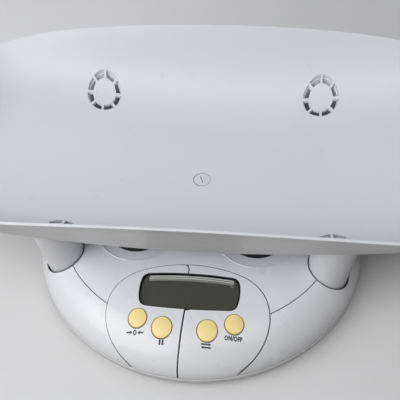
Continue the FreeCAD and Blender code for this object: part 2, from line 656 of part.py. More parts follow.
def platform_plate():
    """Inner plate that an older child stands on, with four dished grip pads and ribs below."""
    half = PANEL_GAP / 2
    plate = layer(0, PANEL_WALL).common(platform_region(half)).cut(console_region(half))
    ribs_low = BASE_TOP_Z - RIB_DEPTH
    field = prism(outline(SEAM_INSET + LEDGE_WIDTH + 2), ribs_low, BASE_TOP_Z - PANEL_WALL / 2)
    field = field.common(domed(PANEL_WALL / 2))
    field = field.cut(block(0, 0, TALL, TALL, 0, TALL).translated(V(0, BOARD_REAR_Y + 10 - TALL / 2, 0)))
    for _, cx, cy in corners(LEG_X, LEG_Y):
        field = field.cut(post(cx, cy, SOCKET_R + SOCKET_WALL + 2, 0, TALL))
    for x, y in BOSS_SPOTS:
        field = field.cut(post(x, y, BOSS_R + 1, 0, TALL))
    bars = []
    count = int(HALF_WIDTH / RIB_PITCH)
    for k in range(-count, count + 1):
        bars.append(block(k * RIB_PITCH, 0, RIB_WALL, TALL, ribs_low, BASE_TOP_Z))
        bars.append(block(0, TRAY_Y + k * RIB_PITCH, TALL, RIB_WALL, ribs_low, BASE_TOP_Z))
    ribs = fused(bars).common(field)
    cups = []
    beads = []
    dish_z = BASE_TOP_Z - DISH_DEPTH
    pad_z = dish_z - PAD_SUNK - PAD_THICK
    for _, cx, cy in corners(PAD_X, PAD_Y):
        cups.append(post(cx, cy, DISH_R + DISH_CUP_WALL, dish_z - PANEL_WALL, BASE_TOP_Z - PANEL_WALL / 2))
        cups.append(post(cx, cy, PAD_R + 2, pad_z - PANEL_WALL, BASE_TOP_Z - PANEL_WALL / 2))
        beads.append(Part.makeTorus(DISH_R, DISH_BEAD_R, V(cx, cy, BASE_TOP_Z)))
    plate = fused([plate, ribs] + cups + beads)
    edge = DISH_R - DISH_BEAD_R / 2
    for _, cx, cy in corners(PAD_X, PAD_Y):
        slope = Part.makeCone(edge - DISH_SLOPE, edge, DISH_DEPTH, V(cx, cy, dish_z))
        plate = plate.cut(fused([slope, post(cx, cy, edge, BASE_TOP_Z, TALL)]))
        plate = plate.cut(post(cx, cy, PAD_R + CLIP_GAP, pad_z, TALL))
    for _, cx, cy in corners(LEG_X, LEG_Y):
        plate = plate.cut(post(cx, cy, SOCKET_R, 0, TALL))
    return plate


def grip_pad(cx, cy):
    """Rubber disc with raised concentric rings."""
    low = BASE_TOP_Z - DISH_DEPTH - PAD_SUNK - PAD_THICK
    pad = post(cx, cy, PAD_R, low, low + PAD_THICK - 0.5)
    rings = [ring(cx, cy, PAD_R - 1.5 - 5 * k, PAD_R - 4 - 5 * k, low, low + PAD_THICK) for k in range(5)]
    return fused([pad] + rings)


def split_foot(y):
    """X of the seam between the panels, below the window."""
    foot_y = WINDOW_Y - WINDOW_HEIGHT / 2
    return SPLIT_FOOT_X + (y - foot_y) * math.tan(math.radians(SPLIT_SLANT))


def left_share(grow):
    """Plan area left of the seam: a bend above the window, below it a line leaning to the left."""
    bend_x = SPLIT_TOP_X - SPLIT_HOOK_R
    bend_y = WINDOW_Y + WINDOW_HEIGHT / 2 + SPLIT_HOOK_RISE
    front_y = 2 * FRONT_Y
    bend = post(bend_x, bend_y, SPLIT_HOOK_R + grow, 0, TALL)
    beyond = Part.makeBox(TALL, TALL, TALL, V(bend_x - TALL, WINDOW_Y, 0))
    corner = V(-TALL, WINDOW_Y, 0)
    lower = prism(Part.makePolygon([corner, V(-TALL, front_y, 0), V(split_foot(front_y) + grow, front_y, 0),
                                    V(split_foot(WINDOW_Y) + grow, WINDOW_Y, 0), corner]), 0, TALL)
    return fused([bend, beyond, lower])


def rounded_along_seam(panel):
    """The right panel with its top edge rounded along the seam's lower part."""
    outside = domed(0).Shells[0]
    edges = []
    for edge in panel.Edges:
        middle = edge.valueAt((edge.FirstParameter + edge.LastParameter) / 2)
        on_seam = abs(middle.x - split_foot(middle.y) - SPLIT_GAP / 2) < 0.05
        long_way = edge.BoundBox.YLength > 2 * PANEL_WALL
        if on_seam and long_way and outside.distToShape(Part.Vertex(middle))[0] < 0.01:
            edges.append(edge)
    return panel.makeFillet(SPLIT_EDGE_R, edges)


def console_panel(side):
    """Left or right console panel, with its half of the window, button holes and guide sleeves."""
    area = console_region(-PANEL_GAP / 2).translated(V(CONSOLE_SHIFT, 0, 0))
    panel = layer(0, PANEL_WALL).common(area)
    if side == "left":
        panel = panel.common(left_share(-SPLIT_GAP / 2))
    else:
        panel = rounded_along_seam(panel.cut(left_share(SPLIT_GAP / 2)))
    inner = domed(PANEL_WALL / 2)
    spots = [spot for spot in BUTTONS.values() if (spot[0] < SPLIT_TOP_X) == (side == "left")]
    sleeves = [post(x, y, r + BUTTON_GAP + SLEEVE_WALL, SLEEVE_FOOT_Z, BASE_TOP_Z) for x, y, r in spots]
    panel = fused([panel] + [sleeve.common(inner) for sleeve in sleeves])
    for x, y, r in spots:
        panel = panel.cut(post(x, y, r + BUTTON_GAP, 0, TALL))
    if side == "right":
        length, depth = SPLIT_NOTCH
        foot_y = WINDOW_Y - WINDOW_HEIGHT / 2
        panel = panel.cut(block(SPLIT_FOOT_X + length / 2, foot_y, length, 2 * depth, 0, TALL))
    panel = panel.cut(skirt_block(-CLIP_GAP, 0, SKIRT_ROOM_Z + SKIRT_ROOF + CLIP_GAP))
    return panel.cut(window_prism(0, 0, TALL))


# ---------------------------------------------------------------- display
def skirt_block(wall, low, high):
    """Block under the window, that far inside the bezel's skirt."""
    width = WINDOW_WIDTH + 2 * SKIRT_PROUD - 2 * wall
    depth = WINDOW_HEIGHT + SKIRT_PROUD - 2 * wall
    return block(0, WINDOW_Y, width, depth, low, high)


def display_bezel():
    """Black frame: its rim shows round the window, its skirt stands on the circuit board."""
    rim = window_prism(-BEZEL_GAP, SKIRT_ROOM_Z, BASE_TOP_Z).common(domed(BEZEL_SUNK))
    skirt = skirt_block(0, BOARD_Z, SKIRT_ROOM_Z + SKIRT_ROOF)
    room = skirt_block(SKIRT_WALL, BOARD_Z - 1, SKIRT_ROOM_Z)
    hole = window_prism(-BEZEL_GAP - BEZEL_WIDTH, 0, TALL)
    lens_seat = window_prism(-BEZEL_GAP - BEZEL_WIDTH / 2, LENS_TOP_Z - LENS_THICK, TALL)
    return fused([rim, skirt]).cut(room).cut(hole).cut(lens_seat)


def display_window():
    """Clear lens, let into the bezel; its lower corners follow the dome."""
    lens = window_prism(-BEZEL_GAP - BEZEL_WIDTH / 2 - CLIP_GAP, LENS_TOP_Z - LENS_THICK, BASE_TOP_Z)
    return lens.common(domed(LENS_SUNK))


def lcd_panel():
    return skirt_block(SKIRT_WALL + CLIP_GAP, LCD_TOP_Z - LCD_THICK, LCD_TOP_Z)


def lcd_contact_strip():
    """Bright bar with two ridges and a contact loop, lying on the LCD along the window's upper arc."""
    half = WINDOW_WIDTH / 2 - WINDOW_TOP_NARROW
    arc_r = (half ** 2 + WINDOW_TOP_BULGE ** 2) / (2 * WINDOW_TOP_BULGE)
    arc_y = WINDOW_Y + WINDOW_HEIGHT / 2 - arc_r
    outer_r = arc_r - LCD_STRIP_BACK
    inner_r = outer_r - LCD_STRIP_WIDTH
    top = LCD_TOP_Z + LCD_STRIP_THICK
    ridge = LCD_STRIP_RIDGE
    ends = block(LCD_STRIP_SHIFT, WINDOW_Y, LCD_STRIP_LENGTH, WINDOW_HEIGHT, 0, TALL)
    strip = ring(0, arc_y, outer_r, inner_r, LCD_TOP_Z, top).common(ends)
    groove_z = LCD_TOP_Z + LCD_STRIP_THICK / 3
    groove_ends = block(LCD_STRIP_SHIFT, WINDOW_Y, LCD_STRIP_LENGTH - 2 * ridge, WINDOW_HEIGHT, 0, TALL)
    groove = ring(0, arc_y, outer_r - ridge, inner_r + ridge, groove_z, TALL).common(groove_ends)
    loop_x = LCD_STRIP_SHIFT + LCD_STRIP_LENGTH / 2 - LCD_LOOP_R
    loop_y = arc_y + math.sqrt(inner_r ** 2 - loop_x ** 2) - LCD_LOOP_R / 2
    loop = ring(loop_x, loop_y, LCD_LOOP_R, LCD_LOOP_R - LCD_LOOP_WALL, LCD_TOP_Z, top)
    return fused([strip.cut(groove), loop])


def zebra_strips():
    """Two elastomer strips that join the LCD to the circuit board."""
    offset = WINDOW_HEIGHT / 2 - SKIRT_WALL - 2
    return Part.makeCompound([block(0, WINDOW_Y + k * offset, WINDOW_WIDTH - 10, 2, BOARD_Z,
                                    LCD_TOP_Z - LCD_THICK) for k in (-1, 1)])


# ---------------------------------------------------------------- buttons and board
def button_cap(x, y, r):
    """Crowned cap: a hollow piston with a flange at its foot and a stem in the middle."""
    top = top_height(x, y)
    reach = 0.5
    slope_x = (top_height(x + reach, y) - top_height(x - reach, y)) / (2 * reach)
    slope_y = (top_height(x, y + reach) - top_height(x, y - reach)) / (2 * reach)
    normal = V(-slope_x, -slope_y, 1).normalize()
    crown = V(x, y, top + BUTTON_PROUD) - normal * BUTTON_CROWN_R
    crown_ball = Part.makeSphere(BUTTON_CROWN_R, crown)
    inner_ball = Part.makeSphere(BUTTON_CROWN_R - BUTTON_WALL, crown)
    piston = post(x, y, r, BUTTON_FOOT_Z, BASE_TOP_Z + BUTTON_PROUD + r)
    piston = piston.common(crown_ball)
    rim = [e for e in piston.Edges if e.BoundBox.ZMin > BUTTON_FOOT_Z + 1 and e.Length > r]
    piston = piston.makeFillet(0.5, rim)
    room = post(x, y, r - BUTTON_WALL, 0, TALL).common(inner_ball)
    cap = piston.cut(room)
    stem = post(x, y, STEM_R, PLUNGER_TOP_Z, top)
    flange = ring(x, y, r + BUTTON_FLANGE, r - BUTTON_WALL, BUTTON_FOOT_Z,
                  BUTTON_FOOT_Z + BUTTON_FLANGE_THICK)
    flange = flange.common(domed(PANEL_WALL + CLIP_GAP))
    return fused([cap, stem.common(crown_ball), flange])


def switch_plunger(x, y):
    return post(x, y, PLUNGER_R, PLUNGER_TOP_Z - PLUNGER_LENGTH, PLUNGER_TOP_Z)


def key_switches():
    """Bodies of the four tact switches, each bored for its plunger."""
    bodies = []
    for x, y, _ in BUTTONS.values():
        body = block(x, y, SWITCH_SIZE, SWITCH_SIZE, BOARD_Z, SWITCH_TOP_Z)
        bore_foot = PLUNGER_TOP_Z - PLUNGER_LENGTH - BUTTON_TRAVEL - 0.3
        bodies.append(body.cut(post(x, y, PLUNGER_R + PLUNGER_FIT, bore_foot, TALL)))
    return Part.makeCompound(bodies)


def circuit_board():
    w, rear, front, c = BOARD_HALF_WIDTH, BOARD_REAR_Y, BOARD_FRONT_Y, BOARD_CHAMFER
    points = [V(-w, rear, 0), V(w, rear, 0), V(w, front + c, 0), V(w - c, front, 0),
              V(c - w, front, 0), V(-w, front + c, 0), V(-w, rear, 0)]
    board = prism(Part.makePolygon(points), BOARD_Z - BOARD_THICK, BOARD_Z)
    for x, y in POSTS:
        board = board.cut(post(x, y, SCREW_R + 0.2, 0, TALL))
    return board


def board_components():
    """Controller under its epoxy blob, and two capacitors, on the board's underside."""
    under = BOARD_Z - BOARD_THICK
    blob = Part.makeSphere(14, V(16, WINDOW_Y, under + 11)).common(block(16, WINDOW_Y, 30, 30, 0, under))
    caps = [post(x, WINDOW_Y - 8, 2.5, under - 7, under) for x in (-22, -14)]
    return Part.makeCompound([blob] + caps)


# ---------------------------------------------------------------- lower housing
def housing_solid(inset, low, high, edge_r):
    body = prism(outline(inset - HOUSING_PROUD), low, high)
    foot = [e for e in body.Edges if e.BoundBox.ZMax < low + 0.01]
    return body.makeFillet(edge_r, foot)


def rounded_lip(body):
    top = body.BoundBox.ZMax
    return body.makeFillet(HOUSING_LIP_R, [e for e in body.Edges if e.BoundBox.ZMin > top - 0.01])


def lower_housing():
    top = PARTING_Z - PARTING_GAP
    outer = rounded_lip(housing_solid(0, HOUSING_Z, top, HOUSING_EDGE_R))
    room = housing_solid(HOUSING_WALL, HOUSING_FLOOR_Z, BASE_TOP_Z, HOUSING_EDGE_R - HOUSING_WALL)
    shell = outer.cut(room)
    tongue_out = COVER_WALL + TONGUE_GAP
    tongue = prism(outline(tongue_out), PARTING_Z - 2 * TONGUE_HEIGHT, PARTING_Z + TONGUE_HEIGHT / 2)
    tongue = tongue.cut(prism(outline(tongue_out + TONGUE_WALL), 0, TALL))
    tongue = tongue.cut(console_region(LEDGE_WIDTH))
    bridge = prism(outline(0), PARTING_Z - 2 * TONGUE_HEIGHT, top - 1)
    bridge = bridge.cut(prism(outline(tongue_out + TONGUE_WALL), 0, TALL))
    parts = [shell, tongue, bridge]
    board_foot = BOARD_Z - BOARD_THICK
    parts += [post(x, y, POST_R, HOUSING_Z + 1, board_foot) for x, y in POSTS]
    pad_low = HOUSING_Z + 1
    for _, cx, cy in corners(CELL_X, CELL_Y):
        reach = CELL_SIZE / 2 - 2
        for dx in (-1, 1):
            for dy in (-1, 1):
                parts.append(block(cx + dx * reach, cy + dy * reach, 4, 4, pad_low, CELL_Z))
    parts += [post(x, y, BOSS_R + 1, HOUSING_Z + 1, BOSS_FOOT_Z) for x, y in BOSS_SPOTS]
    parts.append(block(0, BATTERY_Y, BOX_LENGTH + 2 * BOX_WALL, BOX_DEPTH + 2 * BOX_WALL,
                       HOUSING_Z + 1, BOX_TOP_Z + BOX_WALL))
    parts.append(hinge_bay(BOX_WALL))
    parts += lead_clips()
    housing = fused(parts)
    housing = housing.cut(block(0, BATTERY_Y, BOX_LENGTH, BOX_DEPTH, HOUSING_Z - 1, BOX_TOP_Z))
    housing = housing.cut(door_opening())
    for _, cx, cy in corners(CELL_X, CELL_Y):
        housing = housing.cut(post(cx, cy, FOOT_R + FOOT_HOLE_GAP, 0, HOUSING_FLOOR_Z + 0.5))
    for x, y in BOSS_SPOTS:
        housing = housing.cut(post(x, y, SCREW_R + 0.3, 0, TALL))
        housing = housing.cut(post(x, y, SCREW_HEAD_R + 0.4, 0, SCREW_SEAT_Z))
    for x, y in POSTS:
        housing = housing.cut(post(x, y, SCREW_R, board_foot - SCREW_LENGTH, TALL))
    housing = housing.cut(snap_notch())
    return fused([housing] + hinge_ears())


# ---------------------------------------------------------------- battery bay
def hinge_bay(grow):
    """Room for the hinge in front of the battery box, grown by the thickness of its walls."""
    low = HOUSING_Z - 1 if grow == 0 else HOUSING_Z + 1
    side = 2 * (HINGE_EAR_R + HINGE_BAY_GAP + grow)
    high = HINGE_Z + HINGE_EAR_R + HINGE_BAY_GAP + grow
    return block(0, HINGE_Y, BOX_LENGTH + 2 * grow, side, low, high)


def door_opening():
    """Opening in the underside for the door and its hinge."""
    rear = BATTERY_Y + BOX_DEPTH / 2 + DOOR_LEDGE
    width = BOX_LENGTH + 2 * DOOR_LEDGE
    plate = block(0, (rear + HINGE_Y) / 2, width, rear - HINGE_Y, HOUSING_Z - 1,
                  HOUSING_Z + DOOR_THICK + 0.2)
    return fused([plate, hinge_bay(0)])


def hinge_spots():
    """Middle of each knuckle on the door, and the side that its pin points to."""
    x = BOX_LENGTH / 2 - 2 * HINGE_KNUCKLE_LENGTH
    return ((-x, -1), (x, 1))


def knuckle(x, radius, length):
    return Part.makeCylinder(radius, length, V(x - length / 2, HINGE_Y, HINGE_Z), V(1, 0, 0))


def hinge_ears():
    """Two ears hanging from the bay's roof that hold the door's pins."""
    ears = []
    roof_z = HINGE_Z + HINGE_EAR_R + HINGE_BAY_GAP + BOX_WALL / 2
    for x, way in hinge_spots():
        ear_x = x + way * (HINGE_KNUCKLE_LENGTH + HINGE_SIDE_GAP)
        neck = block(ear_x, HINGE_Y, HINGE_KNUCKLE_LENGTH, 2 * HINGE_EAR_R, HINGE_Z, roof_z)
        ear = fused([knuckle(ear_x, HINGE_EAR_R, HINGE_KNUCKLE_LENGTH), neck])
        ears.append(ear.cut(knuckle(ear_x, HINGE_PIN_R + HINGE_FIT, 2 * HINGE_KNUCKLE_LENGTH)))
    return ears


def battery_door():
    """Lid of the battery bay, with two hinge knuckles and their pins, and a finger notch."""
    rear = BATTERY_Y + BOX_DEPTH / 2 + DOOR_LEDGE - DOOR_GAP
    width = BOX_LENGTH + 2 * DOOR_LEDGE - 2 * DOOR_GAP
    front = HINGE_Y + HINGE_EAR_R + DOOR_GAP
    plate = block(0, (rear + front) / 2, width, rear - front, HOUSING_Z, HOUSING_Z + DOOR_THICK)
    notch = Part.makeSphere(NOTCH_R, V(0, rear, HOUSING_Z + DOOR_THICK / 2 - NOTCH_R))
    parts = [plate.cut(notch)]
    for x, way in hinge_spots():
        parts.append(knuckle(x, HINGE_KNUCKLE_R, HINGE_KNUCKLE_LENGTH))
        parts.append(block(x, (HINGE_Y + front + 1) / 2, HINGE_KNUCKLE_LENGTH, front + 1 - HINGE_Y,
                           HOUSING_Z, HINGE_Z))
        pin_x = x + way * HINGE_KNUCKLE_LENGTH
        parts.append(knuckle(pin_x, HINGE_PIN_R, HINGE_KNUCKLE_LENGTH))
    return fused(parts)


def battery():
    """Flat nine-volt block with two terminals on its end face."""
    low = HOUSING_FLOOR_Z + BATTERY_ROOM
    x = -SNAP_LENGTH / 2
    body = block(x, BATTERY_Y, BATTERY[0], BATTERY[2], low, low + BATTERY[1])
    body = body.makeFillet(1.5, [e for e in body.Edges if abs(e.BoundBox.XLength - BATTERY[0]) < 0.01])
    end = x + BATTERY[0] / 2
    middle_z = low + BATTERY[1] / 2
    spots = [V(end, BATTERY_Y + k * STUD_PITCH / 2, middle_z) for k in (-1, 1)]
    studs = [Part.makeCylinder(STUD_R, STUD_LENGTH, spot, V(1, 0, 0)) for spot in spots]
    return fused([body] + studs)


def snap_x():
    """Where the connector starts: at the tips of the battery's terminals."""
    return BATTERY[0] / 2 - SNAP_LENGTH / 2 + STUD_LENGTH


def battery_snap():
    """Connector clipped over the battery's terminals."""
    low = HOUSING_FLOOR_Z + BATTERY_ROOM
    return block(snap_x() + SNAP_THICK / 2, BATTERY_Y, SNAP_THICK, BATTERY[2] - 3, low, low + 15)


def snap_notch():
    """Slot in the battery box for the battery's lead."""
    return block(BOX_LENGTH / 2, BATTERY_Y, 4 * BOX_WALL, 4, LEAD_Z - 2, LEAD_Z + 4)


# ---------------------------------------------------------------- load cells and feet
def load_cell(cx, cy):
    """Steel half-bridge cell: a square frame with a tongue freed by a U-shaped slot."""
    top = CELL_Z + CELL_THICK
    plate = block(cx, cy, CELL_SIZE, CELL_SIZE, CELL_Z, top)
    outer = block(cx, cy, CELL_TONGUE + 2 * CELL_SLOT, CELL_SIZE * 0.62, 0, TALL)
    tongue = block(cx, cy + CELL_SLOT, CELL_TONGUE, CELL_SIZE * 0.62, 0, TALL)
    return plate.cut(outer.cut(tongue))


def foot(cx, cy):
    """Plastic cup whose stem pushes on the load cell's tongue."""
    low = FOOT_PAD_THICK
    cup = post(cx, cy, FOOT_R, low, low + FOOT_CUP_THICK)
    cup = cup.makeFillet(1.2, [cup.Edges[0]])
    stem = post(cx, cy, FOOT_STEM_R, low, CELL_Z)
    seat = post(cx, cy, FOOT_PAD_R + CLIP_GAP, low - 1, low + 1)
    return fused([cup, stem]).cut(seat)


def foot_pad(cx, cy):
    pad = post(cx, cy, FOOT_PAD_R, 0, FOOT_PAD_THICK + 1)
    return pad.makeFillet(0.6, [e for e in pad.Edges if e.BoundBox.ZMax < 0.01])


# ---------------------------------------------------------------- leads
def lead_routes():
    """Route of each lead: level, just above the housing's floor, then straight up to the board."""
    start_x = CELL_X - CELL_SIZE / 2 - CLIP_GAP
    front_y = TRAY_Y - CELL_Y
    rear_y = TRAY_Y + CELL_Y
    board_y = BOARD_REAR_Y - 12
    routes = {}
    for side, s in SIDES.items():
        front = [(start_x, front_y), (72, front_y), (50, front_y - 5), (28, board_y)]
        rear = [(start_x, rear_y), (72, rear_y), (56, rear_y - 16), (50, rear_y - 58),
                (48, rear_y - 128), (18, front_y + 9), (18, board_y)]
        routes["front_" + side] = [V(s * x, y, LEAD_Z) for x, y in front]
        routes["rear_" + side] = [V(s * x, y, LEAD_Z) for x, y in rear]
    snap = snap_x() + SNAP_THICK + CLIP_GAP
    plan = [(snap, BATTERY_Y), (snap + 9, BATTERY_Y), (snap + 13, BATTERY_Y - 14), (38, 0),
            (4, front_y + 9), (4, board_y)]
    routes["battery"] = [V(x, y, LEAD_Z) for x, y in plan]
    for points in routes.values():
        last = points[-1]
        points.append(V(last.x, last.y, BOARD_Z - BOARD_THICK - CLIP_GAP))
    return routes


def lead(points, name):
    """Tube along straight runs joined by tangent arcs, each as large as its two runs allow."""
    edges = []
    radii = []
    at = points[0]
    for a, b, c in zip(points, points[1:], points[2:]):
        run_in, run_out = (b - a), (c - b)
        turn = run_in.getAngle(run_out)
        radius = 0.45 * min(run_in.Length, run_out.Length) / math.tan(turn / 2)
        radii.append(round(radius, 1))
        back = radius * math.tan(turn / 2)
        way_in, way_out = V(run_in).normalize(), V(run_out).normalize()
        enter, leave = b - way_in * back, b + way_out * back
        bisector = (way_out - way_in).normalize()
        centre = b + bisector * (radius / math.cos(turn / 2))
        middle = centre - bisector * radius
        edges += [line(at, enter), Part.Arc(enter, middle, leave).toShape()]
        at = leave
    edges.append(line(at, points[-1]))
    path = Part.Wire(edges)
    section = Part.Wire([Part.makeCircle(LEAD_R, points[0], points[1] - points[0])])
    tube = path.makePipeShell([section], True, False)
    expected = math.pi * LEAD_R ** 2 * path.Length
    print(name, "length %.0f" % path.Length, "radii", radii, "volume ratio %.4f" % (tube.Volume / expected))
    return tube


def lead_clips():
    """Bridges on the housing's floor that hold the leads down."""
    clips = []
    for points in lead_routes().values():
        for a, b in list(zip(points, points[1:]))[1:-1]:
            middle = (a + b) / 2
            way = (b - a).normalize()
            clip = Part.makeBox(3, 4 * LEAD_R, LEAD_Z + 2 * LEAD_R - HOUSING_Z - 1,
                                V(-1.5, -2 * LEAD_R, HOUSING_Z + 1))
            clip.rotate(V(0, 0, 0), V(0, 0, 1), math.degrees(math.atan2(way.y, way.x)))
            clip.translate(V(middle.x, middle.y, 0))
            hole = Part.makeCylinder(LEAD_R + CLIP_GAP, 20, middle - way * 10, way)
            clips.append(clip.cut(hole))
    return clips


# ---------------------------------------------------------------- screws
def screw(x, y, head_z, up):
    """Pan-head screw; up is 1 when it points up from its head, -1 when it points down."""
    way = V(0, 0, up)
    head = Part.makeCylinder(SCREW_HEAD_R, SCREW_HEAD, V(x, y, head_z), way * -1)
    shank = Part.makeCylinder(SCREW_R - SCREW_FIT, SCREW_LENGTH - 1, V(x, y, head_z), way)
    slot_low = head_z - SCREW_HEAD if up > 0 else head_z + SCREW_HEAD - 0.8
    cross = [block(x, y, 3.2, 0.8, slot_low - 0.01, slot_low + 0.8),
             block(x, y, 0.8, 3.2, slot_low - 0.01, slot_low + 0.8)]
    return fused([head, shank]).cut(fused(cross))


def housing_screws():
    return Part.makeCompound([screw(x, y, SCREW_SEAT_Z, 1) for x, y in BOSS_SPOTS])


def board_screws():
    return Part.makeCompound([screw(x, y, BOARD_Z, -1) for x, y in POSTS])


# ---------------------------------------------------------------- build
def main():
    os.makedirs("parts", exist_ok=True)
    skin = thick_skin()
    above = skin_face(TRAY_WALL).extrude(V(0, 0, RIM_Z))
    save(tray_shell(skin), "tray_shell")
    for name, cx, cy in corners(LEG_X, LEG_Y):
        save(leg(cx, cy, above), "tray_leg_" + name)
    save(base_cover(), "base_cover")
    save(platform_plate(), "platform_plate")
    for name, cx, cy in corners(PAD_X, PAD_Y):
        save(grip_pad(cx, cy), "grip_pad_" + name)
    for side in SIDES:
        save(console_panel(side), "console_panel_" + side)
    save(display_bezel(), "display_bezel")
    save(display_window(), "display_window")
    save(lcd_panel(), "lcd_panel")
    save(lcd_contact_strip(), "lcd_contact_strip")
    save(zebra_strips(), "zebra_strips")
    for name, (x, y, r) in BUTTONS.items():
        save(button_cap(x, y, r), "button_" + name)
        save(switch_plunger(x, y), "plunger_" + name)
    save(key_switches(), "key_switches")
    save(circuit_board(), "circuit_board")
    save(board_components(), "board_components")
    save(lower_housing(), "lower_housing")
    save(battery_door(), "battery_door")
    save(battery(), "battery")
    save(battery_snap(), "battery_snap")
    for name, cx, cy in corners(CELL_X, CELL_Y):
        save(load_cell(cx, cy), "load_cell_" + name)
        save(foot(cx, cy), "foot_" + name)
        save(foot_pad(cx, cy), "foot_pad_" + name)
    for name, points in lead_routes().items():
        save(lead(points, name), "lead_" + name)
    save(housing_screws(), "housing_screws")
    save(board_screws(), "board_screws")


main()
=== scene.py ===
import math

import bmesh
import bpy
from mathutils import Matrix, Vector
from mathutils.bvhtree import BVHTree


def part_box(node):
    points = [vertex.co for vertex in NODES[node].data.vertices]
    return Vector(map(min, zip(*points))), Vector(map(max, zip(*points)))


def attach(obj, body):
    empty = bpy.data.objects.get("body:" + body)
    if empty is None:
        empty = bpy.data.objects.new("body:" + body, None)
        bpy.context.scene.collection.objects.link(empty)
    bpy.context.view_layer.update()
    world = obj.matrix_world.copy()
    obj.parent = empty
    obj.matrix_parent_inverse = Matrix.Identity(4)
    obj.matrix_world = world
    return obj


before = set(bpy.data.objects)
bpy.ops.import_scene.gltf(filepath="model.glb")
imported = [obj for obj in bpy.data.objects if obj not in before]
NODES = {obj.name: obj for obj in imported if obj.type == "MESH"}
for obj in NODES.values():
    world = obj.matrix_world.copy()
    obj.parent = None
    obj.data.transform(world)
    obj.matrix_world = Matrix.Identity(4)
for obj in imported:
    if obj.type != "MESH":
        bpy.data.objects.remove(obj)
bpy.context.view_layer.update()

# Lengths are in metres, apart from the drawings of the marks, which are in millimetres.
MM = 0.001
SCENE = bpy.context.scene


# ---------------------------------------------------------------- node helpers
NOISE_MIDDLE = (0.3, 0.7)         # most of a noise texture's values lie between these
NO_HEIGHT = (1.0, 1.0, 0.0)       # factor that leaves only what shows in plan


def new_material(name):
    material = bpy.data.materials.new(name)
    material.use_nodes = True
    tree = material.node_tree
    shader = tree.nodes["Principled BSDF"]
    return material, tree, shader


def add_node(tree, kind, **values):
    """A new node, with values for its sockets or, where no socket has the name, its settings."""
    node = tree.nodes.new(kind)
    for key, value in values.items():
        if key in node.inputs:
            node.inputs[key].default_value = value
        else:
            setattr(node, key, value)
    return node


def object_coords(tree):
    return add_node(tree, "ShaderNodeTexCoord").outputs["Object"]


def noise(tree, scale, detail=3.0, roughness=0.5):
    texture = add_node(tree, "ShaderNodeTexNoise", Scale=scale, Detail=detail, Roughness=roughness)
    tree.links.new(object_coords(tree), texture.inputs["Vector"])
    return texture.outputs["Fac"]


def ramp(tree, value, low, high, low_out=0.0, high_out=1.0):
    """Turns the range low to high into low_out to high_out, and holds the ends beyond it."""
    node = add_node(tree, "ShaderNodeMapRange")
    tree.links.new(value, node.inputs["Value"])
    node.inputs["From Min"].default_value = low
    node.inputs["From Max"].default_value = high
    node.inputs["To Min"].default_value = low_out
    node.inputs["To Max"].default_value = high_out
    return node.outputs["Result"]


def mix_colors(tree, factor, first, second):
    """Mixes two colours, each a colour socket or three numbers, by a factor socket."""
    node = add_node(tree, "ShaderNodeMix", data_type="RGBA")
    tree.links.new(factor, node.inputs["Factor"])
    for socket, color in ((node.inputs["A"], first), (node.inputs["B"], second)):
        if isinstance(color, bpy.types.NodeSocket):
            tree.links.new(color, socket)
        else:
            socket.default_value = (*color, 1.0)
    return node.outputs["Result"]


def math_node(tree, operation, first, second):
    node = add_node(tree, "ShaderNodeMath", operation=operation)
    tree.links.new(first, node.inputs[0])
    tree.links.new(second, node.inputs[1])
    return node.outputs["Value"]


def length_of(tree, vector):
    node = add_node(tree, "ShaderNodeVectorMath", operation="LENGTH")
    tree.links.new(vector, node.inputs[0])
    return node.outputs["Value"]


def distance_from(tree, x, y):
    """How far a point is, in plan, from a place."""
    offset = add_node(tree, "ShaderNodeVectorMath", operation="SUBTRACT")
    tree.links.new(object_coords(tree), offset.inputs[0])
    offset.inputs[1].default_value = (x, y, 0.0)
    in_plan = add_node(tree, "ShaderNodeVectorMath", operation="MULTIPLY")
    tree.links.new(offset.outputs["Vector"], in_plan.inputs[0])
    in_plan.inputs[1].default_value = NO_HEIGHT
    return length_of(tree, in_plan.outputs["Vector"])


def set_color(tree, shader, color):
    tree.links.new(color, shader.inputs["Base Color"])


def set_gloss(tree, shader, texture, smoothest, roughest):
    """Roughness that wanders with a noise texture."""
    tree.links.new(ramp(tree, texture, *NOISE_MIDDLE, smoothest, roughest),
                   shader.inputs["Roughness"])


# ---------------------------------------------------------------- kinds of material
EDGE_ROUND = 0.0004               # how far hard edges look rounded
EDGE_SAMPLES = 4

CREVICE_REACH = 0.0035            # how far apart two walls still get painted shade from each other
CREVICE_SAMPLES = 6
CREVICE_OPEN = (0.1, 0.75)        # shares of open sky at which the painted shade is full and at which there is none

RIM_SHADE_WIDTH = 0.0009                # how far in from its edge the painted shade on a round cap reaches

DRIFT = 0.03                      # how much darker the colour gets in places
DRIFT_SCALE = 14.0
SCUFF_SCALE = 48.0
SCUFF_DETAIL = 6.0
SCUFF_NOISE_ROUGHNESS = 0.62
SCUFF_RANGE = (0.66, 0.76)        # noise values at which a scuff begins and is full
GLOSS_SCALE = 60.0
GLOSS_SPREAD = 0.12
PLASTIC_GRAIN_SCALE = 900.0
PLASTIC_GRAIN_DETAIL = 2.0
PLASTIC_GRAIN_STRENGTH = 0.25
PLASTIC_GRAIN_HEIGHT = 0.00002
PLASTIC_IOR = 1.5
COAT_ROUGHNESS = 0.2

RUBBER_SPECKLE_SCALE = 700.0
RUBBER_SPECKLE_DETAIL = 4.0
RUBBER_SPECKLE_GAIN = 1.6         # a speckle's colour is the rubber's times this
RUBBER_SPECKLE_LIFT = 0.004       # plus this
RUBBER_GLOSS_SCALE = 90.0
RUBBER_GLOSS = (0.6, 0.8)
RUBBER_GRAIN_STRENGTH = 0.4
RUBBER_GRAIN_HEIGHT = 0.00006

METAL_STREAK_SCALE = 400.0
METAL_STREAK_DETAIL = 4.0
METAL_DULL = 0.85                 # the darker streaks' share of the colour
METAL_GLOSS = (0.8, 1.25)         # smoothest and roughest share of the roughness

